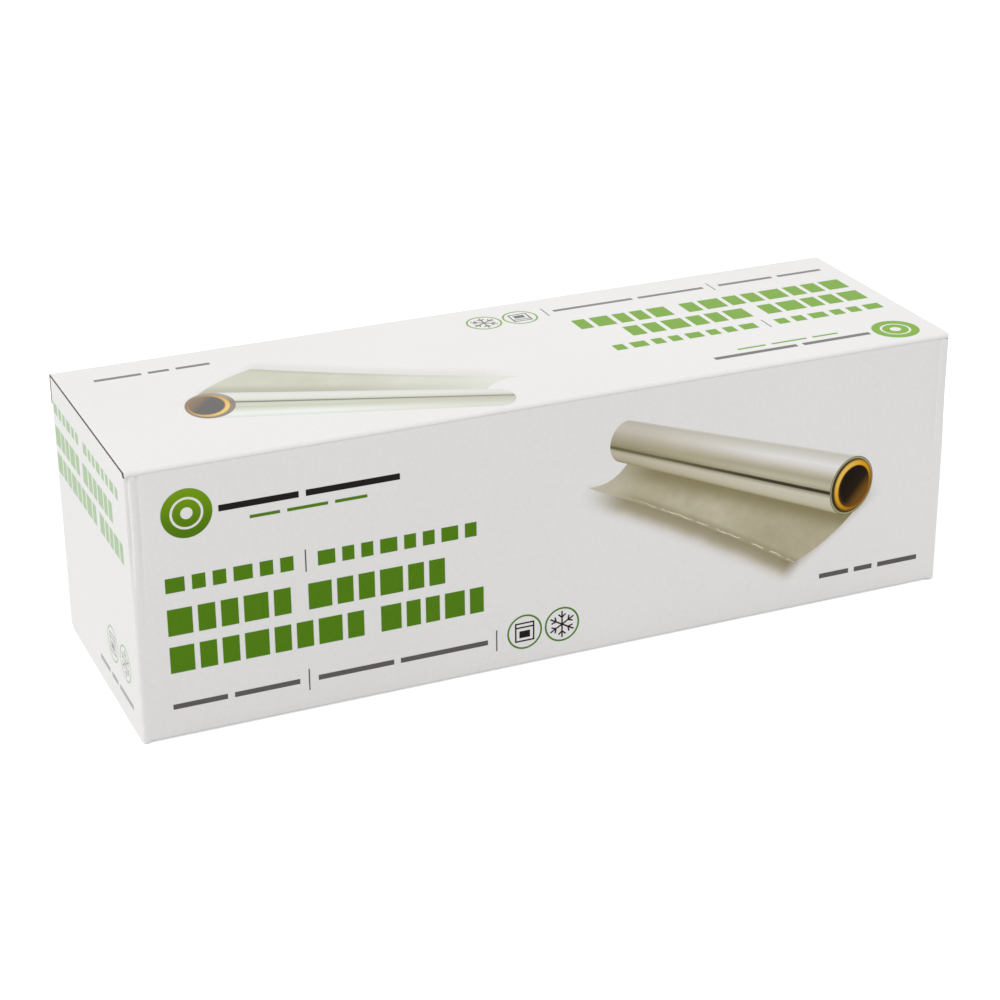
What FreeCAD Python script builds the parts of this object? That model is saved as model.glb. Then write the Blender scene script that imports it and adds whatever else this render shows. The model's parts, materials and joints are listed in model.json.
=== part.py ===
import FreeCAD, Part
import math
import os
from FreeCAD import Matrix, Placement, Vector

# A closed board carton with a hinged lid, holding a roll of foil on its core tube. Sizes are in millimetres.
# X is the long way, the printed front wall faces -Y, Z is up. The origin is on the floor under the middle.
foil_width = 304.8
carton_depth = 102.0
carton_height = 104.0
board_thickness = 1.2

# Outer radii of the folds
floor_fold_radius = 1.6
upright_fold_radius = 2.6
lid_fold_radius = 1.2
lip_fold_radius = 1.6

# Lid, and the clearances round it
hinge_gap = 0.3
lid_gap = 0.3
lip_gap = 0.3
lip_depth = 12.0

# Glued flaps of the two ends
flap_foot_gap = 0.3
back_flap_reach = 46.0
floor_flap_reach = 40.0
relief_length = 21.0
relief_height = 1.1

# Foil roll and its core tube
foil_diameter = 84.0
tail_thickness = 0.3
tail_angle = 50.0
tail_edge_angle = 200.0
core_overhang = 1.6
core_end_gap = 5.6
core_diameter = 44.0
core_wall = 3.0
core_fit_gap = 0.1
roll_rest_gap = 0.3

# Print: fields of colour let into the board's outer face. Rows are placed by their drop from the panel's top
# or their rise from its foot, and by a margin from its left or right edge.
ink_depth = 0.1
print_left_margin = 11.5
print_right_margin = 8.5
badge_radius = 9.2
badge_ring_radius = 6.0
badge_ring_width = 0.9
badge_dot_radius = 2.2
badge_drop = 18.5
name_inset = 20.5
name_words = [29.0, 35.0]
name_height = 2.4
name_drop = 18.8
note_inset = 31.5
note_words = [11.0, 15.0, 12.0]
note_height = 1.2
note_drop = 24.0

# Each headline word has a width and a count of blocks
first_line_words = [46.5, 60.5]
first_line_counts = [6, 8]
first_line_height = 5.6
first_line_gap = 2.6
first_line_space = 9.0
first_line_drop = 44.6
second_line_words = [45.0, 52.0]
second_line_counts = [5, 6]
second_line_drop = 58.8
third_line_words = [72.0, 40.0]
third_line_counts = [8, 5]
third_line_drop = 73.3
block_height = 10.2
block_gap = 2.0
block_space = 6.5

dash_height = 2.0
dash_space = 2.6
foot_line_words = [20.0, 24.4]
foot_line_second_words = [29.0, 34.4]
foot_line_second_inset = 54.0
foot_line_rise = 12.4
size_words = [13.0, 8.0, 17.8]
size_rise = 11.6
divider_width = 0.5
divider_height = 8.6
foot_divider_insets = [50.5, 123.5]

icon_inset = 134.8
icon_rise = 13.8
icon_pitch = 15.2
icon_radius = 7.05
icon_ring_width = 0.7
icon_mark_gap = 0.9
icon_stroke = 0.6

# The pictured roll: an ellipse for its near end, a smaller one for its far end, and the loose sheet
near_end_inset = 40.2
near_end_rise = 48.0
near_end_half_width = 9.1
near_end_half_height = 12.2
end_lean = 16.0
far_end_inset = 137.1
far_end_rise = 83.2
far_end_share = 0.67
picture_core_share = 0.88
picture_core_shift = 0.7
picture_bore_share = 0.67
picture_bore_shift = 1.4
sheet_tip_inset = 152.1
sheet_tip_rise = 67.3
sheet_corner_inset = 64.8
sheet_corner_rise = 19.6
sheet_tuck = 4.0
sheet_tip_width = 3.6
sheet_left_curl = 2.8
sheet_right_curl = 2.6
sheet_edge_curl = 1.6

# Print on the lid and on the left end
lid_print_slide = 4.4
lid_print_shift = 5.7
lid_picture_shift = 9.7
end_headline_scale = 0.76
end_headline_margin = 1.5
end_headline_drop = 12.4
end_icon_margin = 34.9
end_icon_rise = 23.4
end_icon_pitch = 16.8
end_size_margin = 11.0
end_size_rise = 9.2

# Walls and axes that several pieces share
core_length = foil_width + 2 * core_overhang
carton_length = core_length + 2 * (core_end_gap + 2 * board_thickness)
half_length = carton_length / 2
front_face = -carton_depth / 2
lip_face = carton_depth / 2
back_face = lip_face - board_thickness - lip_gap
lid_underside = carton_height - board_thickness
wall_top = lid_underside - lid_gap
hinge_y = front_face + lid_fold_radius
hinge_z = carton_height - lid_fold_radius
inner_flap_face = half_length - board_thickness
roll_radius = foil_diameter / 2
roll_y = (front_face + back_face) / 2
roll_z = board_thickness + roll_rest_gap + tail_thickness + roll_radius
print_left = -half_length + print_left_margin
size_row_width = sum(size_words) + dash_space * (len(size_words) - 1)

parts = {}


def block(low, high):
    """A box between two corners."""
    size = [b - a for a, b in zip(low, high)]
    return Part.makeBox(size[0], size[1], size[2], Vector(*low))


def tube(radius, bore_radius, length):
    """A tube along X, centred on the origin."""
    start = Vector(-length / 2, 0, 0)
    outside = Part.makeCylinder(radius, length, start, Vector(1, 0, 0))
    if bore_radius <= 0:
        return outside
    return outside.cut(Part.makeCylinder(bore_radius, length, start, Vector(1, 0, 0)))


def fold(radius, length, centre, axis, toward):
    """A quarter-round fold of board: a bent wall along an axis, kept on the side that toward points to."""
    outside = Part.makeCylinder(radius, length, centre, axis)
    bend = outside.cut(Part.makeCylinder(radius - board_thickness, length, centre, axis))
    corner = centre + axis * length + toward * radius
    low = [min(a, b) for a, b in zip(centre, corner)]
    high = [max(a, b) for a, b in zip(centre, corner)]
    return bend.common(block(low, high))


def fuse_all(shapes):
    """One clean solid out of several that touch."""
    return shapes[0].multiFuse(shapes[1:]).removeSplitter()


def hinge_clearance():
    """The round space that the lid's fold turns in, along the whole carton."""
    start = Vector(-half_length, hinge_y, hinge_z)
    return Part.makeCylinder(lid_fold_radius + hinge_gap, carton_length, start, Vector(1, 0, 0))


def carton_walls():
    """Front wall, floor and back wall, with the two folds along the floor."""
    run = half_length - upright_fold_radius
    floor_run = inner_flap_face - floor_fold_radius
    front_seat = front_face + floor_fold_radius
    back_seat = back_face - floor_fold_radius
    along = Vector(1, 0, 0)
    return [
        block((-run, front_face, floor_fold_radius), (run, front_face + board_thickness, wall_top)),
        block((-floor_run, front_seat, 0), (floor_run, back_seat, board_thickness)),
        block((-floor_run, back_face - board_thickness, floor_fold_radius), (floor_run, back_face, wall_top)),
        fold(floor_fold_radius, 2 * run, Vector(-run, front_seat, floor_fold_radius), along,
             Vector(0, -1, -1)),
        fold(floor_fold_radius, 2 * floor_run, Vector(-floor_run, back_seat, floor_fold_radius), along,
             Vector(0, 1, -1)),
    ]


def end_flaps():
    """The flaps of the +X end: the front wall's outer one, over the floor's and the back wall's."""
    up = Vector(0, 0, 1)
    inside = inner_flap_face - board_thickness
    front_seat = front_face + upright_fold_radius
    back_seat = back_face - floor_fold_radius
    outer = block((inner_flap_face, front_seat, flap_foot_gap), (half_length, back_face, wall_top))
    relief = [
        Vector(half_length, back_face, 0),
        Vector(half_length, back_face, relief_height),
        Vector(half_length, back_face - relief_length, 0),
    ]
    relief_face = Part.Face(Part.makePolygon(relief + relief[:1]))
    outer = outer.cut(relief_face.extrude(Vector(-board_thickness, 0, 0)))
    flap_height = wall_top - flap_foot_gap
    upright_centre = Vector(half_length - upright_fold_radius, front_seat, flap_foot_gap)
    back_centre = Vector(inner_flap_face - floor_fold_radius, back_seat, floor_fold_radius)
    floor_centre = Vector(inner_flap_face - floor_fold_radius, front_seat, floor_fold_radius)
    floor_flap_length = back_seat - front_seat
    return [
        outer,
        fold(upright_fold_radius, flap_height, upright_centre, up, Vector(1, -1, 0)),
        fold(floor_fold_radius, wall_top - floor_fold_radius, back_centre, up, Vector(1, 1, 0)),
        block((inside, back_seat - back_flap_reach, floor_fold_radius),
              (inner_flap_face, back_seat, wall_top)),
        fold(floor_fold_radius, floor_flap_length, floor_centre, Vector(0, 1, 0), Vector(1, 0, -1)),
        block((inside, front_seat, floor_fold_radius), (inner_flap_face, back_seat, floor_flap_reach)),
    ]


def make_carton_body():
    """The folded and glued sheet without its lid."""
    right_end = end_flaps()
    left_end = [flap.mirror(Vector(0, 0, 0), Vector(1, 0, 0)) for flap in right_end]
    body = fuse_all(carton_walls() + right_end + left_end)
    return body.cut(hinge_clearance())


def make_carton_lid():
    """Top panel, the round of its front fold, and the lip that hangs outside the back wall."""
    knuckle_length = carton_length - 2 * upright_fold_radius
    knuckle = tube(lid_fold_radius, 0, knuckle_length)
    knuckle.translate(Vector(0, hinge_y, hinge_z))
    lip_seat_y = lip_face - lip_fold_radius
    lip_seat_z = carton_height - lip_fold_radius
    panel = block((-half_length, hinge_y, lid_underside), (half_length, lip_seat_y, carton_height))
    bend = fold(lip_fold_radius, carton_length, Vector(-half_length, lip_seat_y, lip_seat_z), Vector(1, 0, 0),
                Vector(0, 1, 1))
    lip_low = (-half_length, lip_face - board_thickness, carton_height - lip_depth)
    lip = block(lip_low, (half_length, lip_face, lip_seat_z))
    return fuse_all([knuckle, panel, bend, lip])


def make_foil_roll():
    """All the turns as one wall round the core, with the free end of the foil lying on the last turn."""
    turns = tube(roll_radius, core_diameter / 2 + core_fit_gap, foil_width)
    tail = tube(roll_radius + tail_thickness, roll_radius - tail_thickness, foil_width)
    reach = roll_radius * 2
    first = math.radians(tail_edge_angle)
    last = math.radians(tail_edge_angle + tail_angle)
    corners = [Vector(-foil_width / 2, 0, 0)]
    for angle in (first, last):
        corners.append(Vector(-foil_width / 2, reach * math.cos(angle), reach * math.sin(angle)))
    wedge = Part.Face(Part.makePolygon(corners + corners[:1])).extrude(Vector(foil_width, 0, 0))
    roll = fuse_all([turns, tail.common(wedge)])
    roll.translate(Vector(0, roll_y, roll_z))
    return roll


def make_core_tube():
    """The board tube that the foil is wound on, a little longer than the foil is wide."""
    core = tube(core_diameter / 2, core_diameter / 2 - core_wall, core_length)
    core.translate(Vector(0, roll_y, roll_z))
    return core


# Print is drawn flat: u runs along the row, v is the height on the panel, and the ink is extruded towards w.

def bar(u, v, width, height):
    """A printed bar with its lower left corner at u, v."""
    right = u + width
    top = v + height
    corners = [Vector(u, v, 0), Vector(right, v, 0), Vector(right, top, 0), Vector(u, top, 0)]
    return Part.Face(Part.makePolygon(corners + corners[:1]))


def disc(u, v, radius, hole=0.0):
    """A printed disc, or a ring where a hole is given."""
    outside = Part.Face(Part.Wire(Part.makeCircle(radius, Vector(u, v, 0))))
    if hole <= 0:
        return outside
    return outside.cut(Part.Face(Part.Wire(Part.makeCircle(hole, Vector(u, v, 0)))))


def block_word(u, v, width, height, count, gap):
    """A word of plain blocks: a wide and two narrower ones in turn, fitted to the word's width."""
    shares = [1.0 + 0.25 * (1 if index % 3 == 0 else -0.5) for index in range(count)]
    unit = (width - gap * (count - 1)) / sum(shares)
    blocks = []
    for share in shares:
        blocks.append(bar(u, v, unit * share, height))
        u += unit * share + gap
    return blocks


def dash_row(u, v, widths, height=dash_height, spacing=dash_space):
    """Plain dashes in a row round the height v, in place of small print."""
    dashes = []
    for width in widths:
        dashes.append(bar(u, v - height / 2, width, height))
        u += width + spacing
    return dashes


def block_line(drop, words, counts, height, gap, space):
    """A line of block words, starting at the print's left edge."""
    line = []
    u = print_left
    v = carton_height - drop - height / 2
    for width, count in zip(words, counts):
        line += block_word(u, v, width, height, count, gap)
        u += width + space
    return line


def divider(u, v):
    """A fine upright rule between two words."""
    return bar(u - divider_width / 2, v - divider_height / 2, divider_width, divider_height)


def headline():
    """The three lines of green blocks, in the panel's own place."""
    rows = block_line(first_line_drop, first_line_words, first_line_counts, first_line_height, first_line_gap,
                      first_line_space)
    rows += block_line(second_line_drop, second_line_words, second_line_counts, block_height, block_gap,
                       block_space)
    rows += block_line(third_line_drop, third_line_words, third_line_counts, block_height, block_gap,
                       block_space)
    return rows


def badge():
    """A plain green disc with a ring left bare, round a disc with a bare dot: a roll seen from its end."""
    u = print_left + badge_radius
    v = carton_height - badge_drop
    inner_radius = badge_ring_radius - badge_ring_width
    return [disc(u, v, badge_radius, badge_ring_radius), disc(u, v, inner_radius, badge_dot_radius)]


def small_rows():
    """The dark name bars and the fine green note beside the badge."""
    names = dash_row(print_left + name_inset, carton_height - name_drop, name_words, name_height)
    notes = dash_row(print_left + note_inset, carton_height - note_drop, note_words, note_height)
    return names, notes


def snowflake(u, v, size):
    """Six arms with short side arms."""
    arms = []
    for turn in range(6):
        arm = [bar(0, -icon_stroke / 2, size, icon_stroke)]
        for side in (-1, 1):
            twig = bar(0, -icon_stroke / 2, size * 0.36, icon_stroke)
            twig.rotate(Vector(0, 0, 0), Vector(0, 0, 1), side * 48)
            twig.translate(Vector(size * 0.52, 0, 0))
            arm.append(twig)
        for piece in arm:
            piece.rotate(Vector(0, 0, 0), Vector(0, 0, 1), 30 + 60 * turn)
            piece.translate(Vector(u, v, 0))
        arms += arm
    return [arms[0].multiFuse(arms[1:]).removeSplitter()]


def oven(u, v, size):
    """A square frame with a rule under its top and a solid window."""
    half = size * 0.72
    frame = bar(u - half, v - half, 2 * half, 2 * half)
    inner = half - icon_stroke
    frame = frame.cut(bar(u - inner, v - inner, 2 * inner, 2 * inner))
    rule = bar(u - inner, v + half * 0.42, 2 * inner, icon_stroke)
    window = bar(u - half * 0.55, v - half * 0.6, half * 1.1, half * 0.72)
    return [frame.fuse(rule).removeSplitter(), window]


def icons(u, v, pitch):
    """Two round signs: the rings, and the marks inside them."""
    inner_radius = icon_radius - icon_ring_width
    rings = [disc(u + pitch * index, v, icon_radius, inner_radius) for index in range(2)]
    size = inner_radius - icon_mark_gap
    return rings, oven(u, v, size) + snowflake(u + pitch, v, size)


def foot_rows():
    """The grey dashes along the foot of the panel, and the rules between words."""
    dashes = dash_row(print_left, foot_line_rise, foot_line_words)
    dashes += dash_row(print_left + foot_line_second_inset, foot_line_rise, foot_line_second_words)
    dashes += dash_row(half_length - print_right_margin - size_row_width, size_rise, size_words)
    first_word_end = print_left + first_line_words[0]
    rules = [divider(first_word_end + first_line_space / 2, carton_height - first_line_drop)]
    for inset in foot_divider_insets:
        rules.append(divider(print_left + inset, foot_line_rise))
    return dashes, rules


def picture_end(centre, share):
    """An end of the pictured roll: an ellipse that leans towards +u, a share of the near end's size."""
    lean = math.radians(end_lean)
    tall = Vector(math.sin(lean), math.cos(lean), 0) * (near_end_half_height * share)
    wide = Vector(math.cos(lean), -math.sin(lean), 0) * (near_end_half_width * share)
    curve = Part.Ellipse(centre + tall, centre - wide, centre)
    return Part.Face(Part.Wire(curve.toShape()))


def furthest(along):
    """How far the near end reaches from its centre in a direction, as the point that touches its side line."""
    lean = math.radians(end_lean)
    tall = Vector(math.sin(lean), math.cos(lean), 0)
    wide = Vector(math.cos(lean), -math.sin(lean), 0)
    up = near_end_half_height * tall.dot(along)
    out = near_end_half_width * wide.dot(along)
    return (tall * (near_end_half_height * up) + wide * (near_end_half_width * out)) * (1 / math.hypot(up, out))


def bowed(start, end, bow):
    """An arc between two points, bowed to the right of the way from one to the other."""
    way = (end - start).normalize()
    return Part.Arc(start, (start + end) * 0.5 + Vector(way.y, -way.x, 0) * bow, end).toShape()


def picture():
    """A pictured foil roll in four fields: the wound foil, the loose sheet, the core and the dark bore."""
    near = Vector(half_length - near_end_inset, near_end_rise, 0)
    far = Vector(half_length - far_end_inset, far_end_rise, 0)
    way = (near - far).normalize()
    reach = furthest(Vector(-way.y, way.x, 0))
    corners = [near + reach, far + reach * far_end_share, far - reach * far_end_share, near - reach]
    side = Part.Face(Part.makePolygon(corners + corners[:1]))
    whole_roll = side.fuse([picture_end(near, 1.0), picture_end(far, far_end_share)]).removeSplitter()
    core = picture_end(near + Vector(picture_core_shift, 0, 0), picture_core_share)
    bore = picture_end(near + Vector(picture_bore_shift, 0, 0), picture_bore_share)
    tip = Vector(half_length - sheet_tip_inset, sheet_tip_rise, 0)
    corner = Vector(half_length - sheet_corner_inset, sheet_corner_rise, 0)
    tip_foot = tip + (corner - tip).normalize() * sheet_tip_width
    behind = near + Vector(near_end_half_width, -near_end_half_width, 0) * picture_bore_share
    tucked = corners[2] + Vector(sheet_tuck, 0, 0)
    sheet_edges = [
        bowed(tip, tucked, sheet_left_curl),
        Part.makeLine(tucked, behind),
        bowed(behind, corner, -sheet_right_curl),
        bowed(corner, tip_foot, sheet_edge_curl),
        Part.makeLine(tip_foot, tip),
    ]
    sheet = Part.Face(Part.Wire(sheet_edges)).cut(whole_roll)
    return {"roll": [whole_roll.cut(core)], "sheet": [sheet], "core": [core.cut(bore)], "bore": [bore]}


def ink(faces, placing):
    """Flat fields made into ink and laid on their panel."""
    solids = []
    for field in faces:
        for face in field.Faces:
            solid = face.extrude(Vector(0, 0, ink_depth))
            solid.Placement = Placement(placing)
            solids.append(solid)
    return Part.makeCompound(solids)


def front_placing():
    """u along +X, v up, ink towards -Y."""
    return Matrix(1, 0, 0, 0, 0, 0, -1, front_face + ink_depth, 0, 1, 0, 0, 0, 0, 0, 1)


def lid_placing(shift):
    """The same panel turned half round, so that it reads from the back, slid a little each way."""
    across = front_face - shift + carton_height
    return Matrix(-1, 0, 0, lid_print_slide, 0, -1, 0, across, 0, 0, 1, carton_height - ink_depth, 0, 0, 0, 1)


def end_placing():
    """u towards the front wall, v up, ink towards -X."""
    return Matrix(0, 0, -1, ink_depth - half_length, -1, 0, 0, 0, 0, 1, 0, 0, 0, 0, 0, 1)


def make_panel_print(name, placing, picture_placing):
    """The full print of the front wall or the lid, one node for each colour."""
    names, notes = small_rows()
    rings, marks = icons(print_left + icon_inset, icon_rise, icon_pitch)
    dashes, rules = foot_rows()
    parts[name + "_print_green"] = ink(badge() + notes + headline() + rings, placing)
    parts[name + "_print_dark"] = ink(names + marks, placing)
    parts[name + "_print_grey"] = ink(dashes + rules, placing)
    for field, faces in picture().items():
        parts[name + "_picture_" + field] = ink(faces, picture_placing)


def make_end_print(placing):
    """The left end's print: the headline made smaller, the two signs and a row of dashes."""
    first_row = Vector(print_left, carton_height - first_line_drop, 0)
    blocks = []
    for block_face in headline():
        block_face.translate(first_row * -1)
        block_face.scale(end_headline_scale, Vector(0, 0, 0))
        block_face.translate(Vector(end_headline_margin - back_face, carton_height - end_headline_drop, 0))
        blocks.append(block_face)
    rings, marks = icons(-front_face - end_icon_margin, end_icon_rise, end_icon_pitch)
    dashes = dash_row(-front_face - end_size_margin - size_row_width, end_size_rise, size_words)
    parts["end_print_green"] = ink(blocks + rings, placing)
    parts["end_print_grey"] = ink(marks + dashes, placing)


def let_in(board_node, prefixes):
    """Cuts the ink's shallow seats out of a board node."""
    inks = [shape for name, shape in parts.items() if name.startswith(prefixes)]
    solids = [solid for shape in inks for solid in shape.Solids]
    parts[board_node] = parts[board_node].cut(solids)


parts["carton_body"] = make_carton_body()
parts["carton_lid"] = make_carton_lid()
parts["foil_roll"] = make_foil_roll()
parts["core_tube"] = make_core_tube()
make_panel_print("front", front_placing(), front_placing())
make_panel_print("lid", lid_placing(lid_print_shift), lid_placing(lid_picture_shift))
make_end_print(end_placing())
let_in("carton_body", ("front_", "end_"))
let_in("carton_lid", ("lid_",))

os.makedirs("parts", exist_ok=True)
for node, shape in parts.items():
    shape.exportStep("parts/" + node + ".step")
    print(node, "solids", len(shape.Solids), "volume", round(shape.Volume, 1), "valid", shape.isValid())
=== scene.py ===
import json
import math

import bmesh
import bpy
from mathutils import Matrix, Vector


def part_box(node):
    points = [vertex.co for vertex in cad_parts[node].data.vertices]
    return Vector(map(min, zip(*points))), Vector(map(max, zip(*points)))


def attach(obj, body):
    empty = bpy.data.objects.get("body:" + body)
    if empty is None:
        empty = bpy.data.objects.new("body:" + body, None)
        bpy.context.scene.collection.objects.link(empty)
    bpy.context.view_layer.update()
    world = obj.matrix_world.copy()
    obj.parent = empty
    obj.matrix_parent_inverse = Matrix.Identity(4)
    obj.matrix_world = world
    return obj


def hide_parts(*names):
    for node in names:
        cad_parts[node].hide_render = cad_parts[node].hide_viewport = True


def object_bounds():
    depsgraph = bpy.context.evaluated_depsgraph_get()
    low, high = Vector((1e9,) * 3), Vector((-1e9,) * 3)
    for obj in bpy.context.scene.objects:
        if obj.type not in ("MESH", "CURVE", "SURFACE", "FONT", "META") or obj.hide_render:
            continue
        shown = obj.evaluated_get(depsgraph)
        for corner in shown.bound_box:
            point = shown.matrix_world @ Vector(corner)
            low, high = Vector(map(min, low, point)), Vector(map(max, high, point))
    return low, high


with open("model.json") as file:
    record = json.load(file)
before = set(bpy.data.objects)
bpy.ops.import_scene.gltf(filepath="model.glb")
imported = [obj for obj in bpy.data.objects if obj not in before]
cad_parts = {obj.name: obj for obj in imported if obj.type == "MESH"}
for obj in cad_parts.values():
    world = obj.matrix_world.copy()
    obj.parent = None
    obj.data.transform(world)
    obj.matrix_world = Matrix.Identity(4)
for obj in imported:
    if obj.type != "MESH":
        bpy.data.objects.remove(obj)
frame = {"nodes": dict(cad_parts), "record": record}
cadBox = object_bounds()
mm = 0.001
touch = 0.001 * mm  # points nearer than this are at the same place
skin = 0.1 * mm  # within this of a face counts as on it

bodyLow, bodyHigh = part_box("carton_body")
lidLow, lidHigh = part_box("carton_lid")
rollLow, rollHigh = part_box("foil_roll")
coreLow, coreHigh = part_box("core_tube")
hingeAt = Vector(frame["record"]["behaviour"]["joints"][0]["pos_m"])


# shader wiring: maths on a wrapped socket adds Math nodes

class Wire:
    def __init__(self, socket):
        self.socket = socket
        self.tree = socket.id_data

    def node(self, kind, settings, sockets, output=0):
        made = self.tree.nodes.new(kind)
        for name, setting in settings.items():
            if name == "stops":
                ramp = made.color_ramp
                while len(ramp.elements) < len(setting):
                    ramp.elements.new(0.5)
                for element, (place, colour) in zip(ramp.elements, setting):
                    element.position = place
                    element.color = (*colour, 1.0)
            else:
                setattr(made, name, setting)
        for name, given in sockets.items():
            if isinstance(given, Wire):
                self.tree.links.new(given.socket, made.inputs[name])
            else:
                made.inputs[name].default_value = given
        return Wire(made.outputs[output])

    def maths(self, operation, *given):
        return self.node("ShaderNodeMath", {"operation": operation}, dict(enumerate(given)))

    def __add__(self, other):
        return self.maths("ADD", self, other)

    def __radd__(self, other):
        return self.maths("ADD", other, self)

    def __sub__(self, other):
        return self.maths("SUBTRACT", self, other)

    def __rsub__(self, other):
        return self.maths("SUBTRACT", other, self)

    def __mul__(self, other):
        return self.maths("MULTIPLY", self, other)

    def __rmul__(self, other):
        return self.maths("MULTIPLY", other, self)

    def __truediv__(self, other):
        return self.maths("DIVIDE", self, other)

    def __abs__(self):
        return self.maths("ABSOLUTE", self)

    def __lt__(self, other):
        return self.maths("LESS_THAN", self, other)

    def __gt__(self, other):
        return self.maths("GREATER_THAN", self, other)


def tint(red, green, blue, lift=1.0):
    # a colour given as 0-255 screen values, with a lift where it was picked in shade
    linear = [((c / 255 + 0.055) / 1.055) ** 2.4 if c > 10 else c / 255 / 12.92 for c in (red, green, blue)]
    return tuple(min(c * lift, 1.0) for c in linear)


def colour4(colour):
    return (*colour, 1.0)


def startMaterial(name):
    material = bpy.data.materials.new(name)
    material.use_nodes = True
    tree = material.node_tree
    tree.nodes.clear()
    coords = Wire(tree.nodes.new("ShaderNodeTexCoord").outputs["Object"])
    return material, coords


def endMaterial(material, colour, roughness, bump=None, metallic=0.0, **fixed):
    # one Principled surface; colour, roughness and bump may be wires, the rest are plain numbers
    tree = material.node_tree
    surface = tree.nodes.new("ShaderNodeBsdfPrincipled")
    output = tree.nodes.new("ShaderNodeOutputMaterial")
    tree.links.new(surface.outputs[0], output.inputs["Surface"])
    for name, given in {"Base Color": colour, "Roughness": roughness, "Metallic": metallic}.items():
        if isinstance(given, Wire):
            tree.links.new(given.socket, surface.inputs[name])
        else:
            surface.inputs[name].default_value = colour4(given) if name == "Base Color" else given
    for name, given in fixed.items():
        surface.inputs[name].default_value = given
    if bump is not None:
        tree.links.new(bump.socket, surface.inputs["Normal"])
    return material


def axes(coords):
    # x, y and z of the coordinates as three wires
    split = coords.node("ShaderNodeSeparateXYZ", {}, {"Vector": coords})
    outputs = split.socket.node.outputs
    return Wire(outputs[0]), Wire(outputs[1]), Wire(outputs[2])


def noise(coords, scale, detail=2.0, stretch=(1.0, 1.0, 1.0)):
    place = coords.node("ShaderNodeMapping", {}, {"Vector": coords, "Scale": stretch})
    return coords.node("ShaderNodeTexNoise", {}, {"Vector": place, "Scale": scale, "Detail": detail})


def mixColour(factor, first, second):
    given = {0: factor, 6: first, 7: second}
    plain = {key: colour4(value) if isinstance(value, tuple) else value for key, value in given.items()}
    wire = next(value for value in given.values() if isinstance(value, Wire))
    return wire.node("ShaderNodeMix", {"data_type": "RGBA"}, plain, 2)


def ramp(factor, stops):
    return factor.node("ShaderNodeValToRGB", {"stops": stops}, {"Fac": factor})


def fade(wire, start, end):
    # 0 at start, 1 at end, smooth on the way
    settings = {"interpolation_type": "SMOOTHSTEP"}
    return wire.node("ShaderNodeMapRange", settings, {0: wire, 1: start, 2: end, 3: 0.0, 4: 1.0})


def bumpFrom(height, distance, strength=1.0):
    return height.node("ShaderNodeBump", {}, {"Height": height, "Distance": distance, "Strength": strength})


# the pictured roll, placed in millimetres along the print's row and up the panel

picture = {
    "far": (24.9, 83.2),
    "near": (121.8, 48.0),
    "farHalf": 8.16,
    "nearHalf": 12.18,
    "endTall": 12.2,
    "endWide": 9.1,
    "endLean": 16.0,
    "tip": (9.9, 67.3),  # the loose sheet's left end and right corner
    "corner": (97.2, 19.6),
    "edgeBow": 1.6,
    "innerEdge": (1.1, -0.5),  # the dark of the bore, from the near end's middle
    "innerShare": 0.72,
    "rightEnd": (127.9, 41.9),
    "lidSlide": 4.4,
    "lidTop": 43.3,
    # lidPale: how far the lid's picture is mixed to pale, as painted sheen of the lid's top
    "lidPale": 0.33,
    "lidTurn": 0.09,  # the lid's print shows the roll's tones this much further round
}

# soft shade printed on the board round the picture: reaches in millimetres from the sheet's edge
printShade = {
    "reach": (-11.0, 1.0),
    "overEdge": (2.6, 0.9),
    "leftEnd": (-0.03, 0.2),
    "rightEnd": (1.045, 0.97),
    "under": [
        (0.0, (1.0, 1.0, 1.0)), (0.12, (0.96, 0.96, 0.95)), (0.3, (0.86, 0.83, 0.78)),
        (0.5, (0.66, 0.61, 0.51)), (0.72, (0.47, 0.42, 0.29)), (1.0, (0.36, 0.31, 0.18)),
    ],
    "beside": (0.50, 0.45, 0.34),
    "besideShare": 0.75,
    # lidShare: the shade is weaker on the lid, as part of the lid's painted sheen
    "lidShare": 0.16,
    "faceDepth": (0.5 * mm, 1.0 * mm),  # the shade stays on the front wall and on the lid's top
}


def panelPlace(coords, panel):
    x, y, z = axes(coords)
    if panel == "front":
        return x * 1000.0, z * 1000.0
    return x * -1000.0 + picture["lidSlide"], y * -1000.0 + picture["lidTop"]


def alongLine(u, v, start, end):
    # share of the way along a line, and the height over it
    run = Vector(end) - Vector(start)
    ahead = run.normalized()
    du, dv = u - start[0], v - start[1]
    share = (du * ahead.x + dv * ahead.y) / run.length
    return share, dv * ahead.x - du * ahead.y


def sheetPlace(u, v):
    # share of the way along the loose sheet's bowed edge, and the height over it
    share, rise = alongLine(u, v, picture["tip"], picture["corner"])
    return share, rise - share * (share * -1.0 + 1.0) * (4 * picture["edgeBow"])


def printedShade(coords, colour, panel):
    # soft shade printed under the pictured sheet and beside the roll's near end
    u, v = panelPlace(coords, panel)
    x, y, z = axes(coords)
    share, rise = sheetPlace(u, v)
    soft = noise(coords, 90.0, 2.0) * 1.6 - 0.8
    under = ramp(fade(rise + soft, *printShade["reach"]), printShade["under"])
    ends = fade(share, *printShade["leftEnd"]) * fade(share, *printShade["rightEnd"])
    ends = ends * fade(rise, *printShade["overEdge"])
    along, out = alongLine(u, v, picture["corner"], picture["rightEnd"])
    right = fade(out, -5.5, 0.5) * fade(out, 6.0, 4.0) * fade(along, -0.16, 0.12) * fade(along, 1.25, 0.85)
    wallDepth, topDepth = printShade["faceDepth"]
    if panel == "front":
        face = y < bodyLow.y + wallDepth
        strength = 1.0
    else:
        face = z > lidHigh.z - topDepth
        strength = printShade["lidShare"]
    colour = shaded(ends * face * strength, colour, under)
    return shaded(right * face * strength * printShade["besideShare"], colour, printShade["beside"])


def shaded(factor, colour, shade):
    # multiplies a colour by a shade, as far as the factor says
    settings = {"data_type": "RGBA", "blend_type": "MULTIPLY"}
    given = shade if isinstance(shade, Wire) else colour4(shade)
    return colour.node("ShaderNodeMix", settings, {0: factor, 6: colour, 7: given}, 2)


# finishes of the carton

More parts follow.
